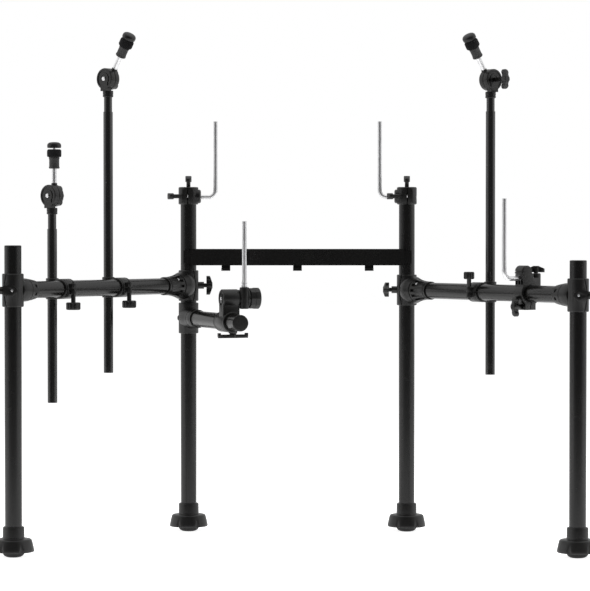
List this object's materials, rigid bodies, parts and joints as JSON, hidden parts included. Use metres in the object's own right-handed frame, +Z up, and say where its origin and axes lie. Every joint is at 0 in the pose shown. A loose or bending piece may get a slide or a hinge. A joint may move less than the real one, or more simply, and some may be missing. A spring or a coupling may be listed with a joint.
{
  "type": "electronic drum kit rack",
  "caption": "Free-standing black drum rack with hinged pipe wings, cymbal booms, bent chrome tom rods and a snare arm.",
  "frame": {"origin": "on the floor, midway between the four feet", "axes": "+Z up, +X to the player's right along the cross bar, the player sits at -Y"},
  "size_m": [1.37, 0.6107, 1.1908],
  "materials": {
    "rack_paint": "semi-gloss black powder coat",
    "moulded_plastic": "satin black moulding",
    "foot_rubber": "dark grey-black rubber",
    "chrome": "polished chrome plate",
    "cymbal_felt": "pressed black felt"
  },
  "bodies": {
    "inner_frame": {"left_inner_post": "rack_paint", "right_inner_post": "rack_paint", "inner_feet": "foot_rubber", "cross_bar": "rack_paint"},
    "left_wing": {"left_wing_pipe": "rack_paint", "left_inner_clamp": "moulded_plastic", "left_outer_clamp": "moulded_plastic", "left_clamp_jaws": "moulded_plastic"},
    "left_outer_leg": {"left_outer_post": "rack_paint", "left_outer_foot": "foot_rubber"},
    "left_inner_wing_screw": {"left_inner_wing_screw": "moulded_plastic"},
    "left_outer_wing_screw": {"left_outer_wing_screw": "moulded_plastic"},
    "right_wing": {"right_wing_pipe": "rack_paint", "right_inner_clamp": "moulded_plastic", "right_outer_clamp": "moulded_plastic", "right_clamp_jaws": "moulded_plastic"},
    "right_outer_leg": {"right_outer_post": "rack_paint", "right_outer_foot": "foot_rubber"},
    "right_inner_wing_screw": {"right_inner_wing_screw": "moulded_plastic"},
    "right_outer_wing_screw": {"right_outer_wing_screw": "moulded_plastic"},
    "hihat_boom_clamp": {"hihat_boom_clamp": "moulded_plastic"},
    "hihat_clamp_knob": {"hihat_clamp_knob": "moulded_plastic"},
    "hihat_boom": {"hihat_boom": "rack_paint"},
    "hihat_boom_upper": {"hihat_boom_upper": "rack_paint"},
    "hihat_tilter_nut": {"hihat_tilter_nut": "moulded_plastic"},
    "hihat_rod": {"hihat_rod": "chrome", "hihat_tilter_head": "moulded_plastic"},
    "left_boom_clamp": {"left_boom_clamp": "moulded_plastic"},
    "left_clamp_knob": {"left_clamp_knob": "moulded_plastic"},
    "left_boom": {"left_boom": "rack_paint"},
    "left_boom_upper": {"left_boom_upper": "rack_paint"},
    "left_tilter_nut": {"left_tilter_nut": "moulded_plastic"},
    "left_cymbal_rod": {"left_cymbal_rod": "chrome", "left_tilter_head": "moulded_plastic"},
    "right_boom_clamp": {"right_boom_clamp": "moulded_plastic"},
    "right_clamp_knob": {"right_clamp_knob": "moulded_plastic"},
    "right_boom": {"right_boom": "rack_paint"},
    "right_boom_upper": {"right_boom_upper": "rack_paint"},
    "right_tilter_nut": {"right_tilter_nut": "moulded_plastic"},
    "right_cymbal_rod": {"right_cymbal_rod": "chrome", "right_tilter_head": "moulded_plastic"},
    "left_tom_holder": {"left_tom_holder": "moulded_plastic"},
    "left_tom_top_screw": {"left_tom_top_screw": "moulded_plastic"},
    "left_tom_side_screw": {"left_tom_side_screw": "moulded_plastic"},
    "left_tom_rod": {"left_tom_rod": "chrome"},
    "right_tom_holder": {"right_tom_holder": "moulded_plastic"},
    "right_tom_top_screw": {"right_tom_top_screw": "moulded_plastic"},
    "right_tom_side_screw": {"right_tom_side_screw": "moulded_plastic"},
    "right_tom_rod": {"right_tom_rod": "chrome"},
    "snare_arm": {"snare_post_clamp": "moulded_plastic", "snare_arm": "rack_paint"},
    "snare_rod_clamp": {"snare_rod_clamp": "moulded_plastic"},
    "snare_lever": {"snare_lever": "moulded_plastic"},
    "snare_knuckle": {"snare_knuckle": "moulded_plastic"},
    "snare_knob": {"snare_knob": "moulded_plastic"},
    "snare_rod": {"snare_rod": "chrome"},
    "side_tom_clamp": {"side_tom_clamp": "moulded_plastic"},
    "side_tom_upper_nut": {"side_tom_upper_nut": "moulded_plastic"},
    "side_tom_lower_nut": {"side_tom_lower_nut": "moulded_plastic"},
    "side_tom_rod": {"side_tom_rod": "chrome"}
  },
  "joints": [
    {"name": "left_wing_swing", "type": "hinge", "parent": "inner_frame", "child": "left_wing", "pos_m": [-0.264, 0.26008, 0.595], "axis": [0, 0, 1], "range_deg": [-55, 30]},
    {"name": "left_outer_leg_height", "type": "slide", "parent": "left_wing", "child": "left_outer_leg", "axis": [0, 0, 1], "range_m": [-0.06, 0.06]},
    {"name": "left_inner_wing_screw_turn", "type": "hinge", "parent": "left_wing", "child": "left_inner_wing_screw", "pos_m": [-0.224, 0.28708, 0.595], "axis": [1, 0, 0], "continuous": true},
    {"name": "left_outer_wing_screw_turn", "type": "hinge", "parent": "left_wing", "child": "left_outer_wing_screw", "pos_m": [-0.66822, -0.28708, 0.595], "axis": [-1, 0, 0], "continuous": true},
    {"name": "right_wing_swing", "type": "hinge", "parent": "inner_frame", "child": "right_wing", "pos_m": [0.264, 0.26008, 0.5845], "axis": [0, 0, 1], "range_deg": [-30, 55]},
    {"name": "right_outer_leg_height", "type": "slide", "parent": "right_wing", "child": "right_outer_leg", "axis": [0, 0, 1], "range_m": [-0.035, 0.06]},
    {"name": "right_inner_wing_screw_turn", "type": "hinge", "parent": "right_wing", "child": "right_inner_wing_screw", "pos_m": [0.224, 0.28708, 0.5845], "axis": [-1, 0, 0], "continuous": true},
    {"name": "right_outer_wing_screw_turn", "type": "hinge", "parent": "right_wing", "child": "right_outer_wing_screw", "pos_m": [0.66822, -0.28708, 0.5845], "axis": [1, 0, 0], "continuous": true},
    {"name": "hihat_clamp_roll", "type": "hinge", "parent": "left_wing", "child": "hihat_boom_clamp", "pos_m": [-0.52871, -0.11796, 0.595], "axis": [-0.5736, -0.8192, 0], "range_deg": [-45, 45]},
    {"name": "hihat_clamp_knob_turn", "type": "hinge", "parent": "hihat_boom_clamp", "child": "hihat_clamp_knob", "pos_m": [-0.50577, -0.13402, 0.595], "axis": [0, 0, 1], "continuous": true},
    {"name": "hihat_boom_height", "type": "slide", "parent": "hihat_boom_clamp", "child": "hihat_boom", "axis": [0, 0, 1], "range_m": [-0.1, 0.15]},
    {"name": "hihat_boom_telescope", "type": "slide", "parent": "hihat_boom", "child": "hihat_boom_upper", "axis": [0, 0, 1], "range_m": [-0.03, 0.1]},
    {"name": "hihat_tilter_nut_turn", "type": "hinge", "parent": "hihat_boom_upper", "child": "hihat_tilter_nut", "pos_m": [-0.52524, -0.05958, 0.8075], "axis": [0.6428, 0.766, 0], "continuous": true},
    {"name": "hihat_cymbal_tilt", "type": "hinge", "parent": "hihat_boom_upper", "child": "hihat_rod", "pos_m": [-0.55738, -0.09788, 0.8075], "axis": [0.6428, 0.766, 0], "range_deg": [-45, 45]},
    {"name": "left_clamp_roll", "type": "hinge", "parent": "left_wing", "child": "left_boom_clamp", "pos_m": [-0.4137, 0.04628, 0.595], "axis": [-0.5736, -0.8192, 0], "range_deg": [-45, 45]},
    {"name": "left_clamp_knob_turn", "type": "hinge", "parent": "left_boom_clamp", "child": "left_clamp_knob", "pos_m": [-0.39077, 0.03022, 0.595], "axis": [0, 0, 1], "continuous": true},
    {"name": "left_boom_height", "type": "slide", "parent": "left_boom_clamp", "child": "left_boom", "axis": [0, 0, 1], "range_m": [-0.28, 0.12]},
    {"name": "left_boom_telescope", "type": "slide", "parent": "left_boom", "child": "left_boom_upper", "axis": [0, 0, 1], "range_m": [-0.03, 0.1]},
    {"name": "left_tilter_nut_turn", "type": "hinge", "parent": "left_boom_upper", "child": "left_tilter_nut", "pos_m": [-0.41023, 0.10466, 1.083], "axis": [0.6428, 0.766, 0], "continuous": true},
    {"name": "left_cymbal_tilt", "type": "hinge", "parent": "left_boom_upper", "child": "left_cymbal_rod", "pos_m": [-0.44237, 0.06636, 1.083], "axis": [0.6428, 0.766, 0], "range_deg": [-70, 15]},
    {"name": "right_clamp_roll", "type": "hinge", "parent": "right_wing", "child": "right_boom_clamp", "pos_m": [0.42403, 0.03154, 0.5845], "axis": [0.5736, -0.8192, 0], "range_deg": [-45, 45]},
    {"name": "right_clamp_knob_turn", "type": "hinge", "parent": "right_boom_clamp", "child": "right_clamp_knob", "pos_m": [0.40109, 0.01548, 0.5845], "axis": [0, 0, 1], "continuous": true},
    {"name": "right_boom_height", "type": "slide", "parent": "right_boom_clamp", "child": "right_boom", "axis": [0, 0, 1], "range_m": [-0.28, 0.12]},
    {"name": "right_boom_telescope", "type": "slide", "parent": "right_boom", "child": "right_boom_upper", "axis": [0, 0, 1], "range_m": [-0.03, 0.1]},
    {"name": "right_tilter_nut_turn", "type": "hinge", "parent": "right_boom_upper", "child": "right_tilter_nut", "pos_m": [0.48484, 0.01331, 1.0795], "axis": [0.6428, -0.766, 0], "continuous": true},
    {"name": "right_cymbal_tilt", "type": "hinge", "parent": "right_boom_upper", "child": "right_cymbal_rod", "pos_m": [0.4527, 0.05161, 1.0795], "axis": [0.6428, -0.766, 0], "range_deg": [-70, 15]},
    {"name": "left_tom_swivel", "type": "hinge", "parent": "inner_frame", "child": "left_tom_holder", "pos_m": [-0.264, 0.26008, 0.8], "axis": [0, 0, 1], "range_deg": [-90, 90]},
    {"name": "left_tom_top_screw_turn", "type": "hinge", "parent": "left_tom_holder", "child": "left_tom_top_screw", "pos_m": [-0.264, 0.26008, 0.84], "axis": [0, 0, 1], "continuous": true},
    {"name": "left_tom_side_screw_turn", "type": "hinge", "parent": "left_tom_holder", "child": "left_tom_side_screw", "pos_m": [-0.294, 0.23103, 0.8105], "axis": [-1, 0, 0], "continuous": true},
    {"name": "left_tom_rod_turn", "type": "hinge", "parent": "left_tom_holder", "child": "left_tom_rod", "pos_m": [-0.264, 0.26008, 0.8085], "axis": [1, 0, 0], "range_deg": [-90, 90]},
    {"name": "right_tom_swivel", "type": "hinge", "parent": "inner_frame", "child": "right_tom_holder", "pos_m": [0.264, 0.26008, 0.8], "axis": [0, 0, 1], "range_deg": [-90, 90]},
    {"name": "right_tom_top_screw_turn", "type": "hinge", "parent": "right_tom_holder", "child": "right_tom_top_screw", "pos_m": [0.264, 0.26008, 0.84], "axis": [0, 0, 1], "continuous": true},
    {"name": "right_tom_side_screw_turn", "type": "hinge", "parent": "right_tom_holder", "child": "right_tom_side_screw", "pos_m": [0.234, 0.23103, 0.8105], "axis": [-1, 0, 0], "continuous": true},
    {"name": "right_tom_rod_turn", "type": "hinge", "parent": "right_tom_holder", "child": "right_tom_rod", "pos_m": [0.264, 0.26008, 0.8085], "axis": [1, 0, 0], "range_deg": [-90, 90]},
    {"name": "snare_arm_swing", "type": "hinge", "parent": "inner_frame", "child": "snare_arm", "pos_m": [-0.264, 0.26008, 0.5165], "axis": [0, 0, 1], "range_deg": [-30, 50]},
    {"name": "snare_clamp_roll", "type": "hinge", "parent": "snare_arm", "child": "snare_rod_clamp", "pos_m": [-0.15859, -0.02186, 0.5165], "axis": [0.3502, -0.9367, 0], "range_deg": [-45, 45]},
    {"name": "snare_lever_turn", "type": "hinge", "parent": "snare_rod_clamp", "child": "snare_lever", "pos_m": [-0.14609, -0.04387, 0.4865], "axis": [0, 0, -1], "continuous": true},
    {"name": "snare_knuckle_tilt", "type": "hinge", "parent": "snare_rod_clamp", "child": "snare_knuckle", "pos_m": [-0.13319, -0.02411, 0.571], "axis": [0.9367, 0.3502, 0], "range_deg": [-45, 45]},
    {"name": "snare_knob_turn", "type": "hinge", "parent": "snare_rod_clamp", "child": "snare_knob", "pos_m": [-0.09479, -0.00975, 0.571], "axis": [0.9367, 0.3502, 0], "continuous": true},
    {"name": "snare_rod_height", "type": "slide", "parent": "snare_knuckle", "child": "snare_rod", "axis": [0, 0, 1], "range_m": [0, 0.03]},
    {"name": "side_clamp_roll", "type": "hinge", "parent": "right_wing", "child": "side_tom_clamp", "pos_m": [0.52555, -0.11345, 0.5845], "axis": [0.5736, -0.8192, 0], "range_deg": [-45, 45]},
    {"name": "side_tom_upper_nut_turn", "type": "hinge", "parent": "side_tom_clamp", "child": "side_tom_upper_nut", "pos_m": [0.5473, -0.09822, 0.6345], "axis": [0, 0, 1], "continuous": true},
    {"name": "side_tom_lower_nut_turn", "type": "hinge", "parent": "side_tom_clamp", "child": "side_tom_lower_nut", "pos_m": [0.50098, -0.13066, 0.5555], "axis": [-0.8192, -0.5736, 0], "continuous": true},
    {"name": "side_tom_rod_turn", "type": "hinge", "parent": "side_tom_clamp", "child": "side_tom_rod", "pos_m": [0.52555, -0.11345, 0.619], "axis": [-0.8192, -0.5736, 0], "range_deg": [-90, 90]}
  ]
}
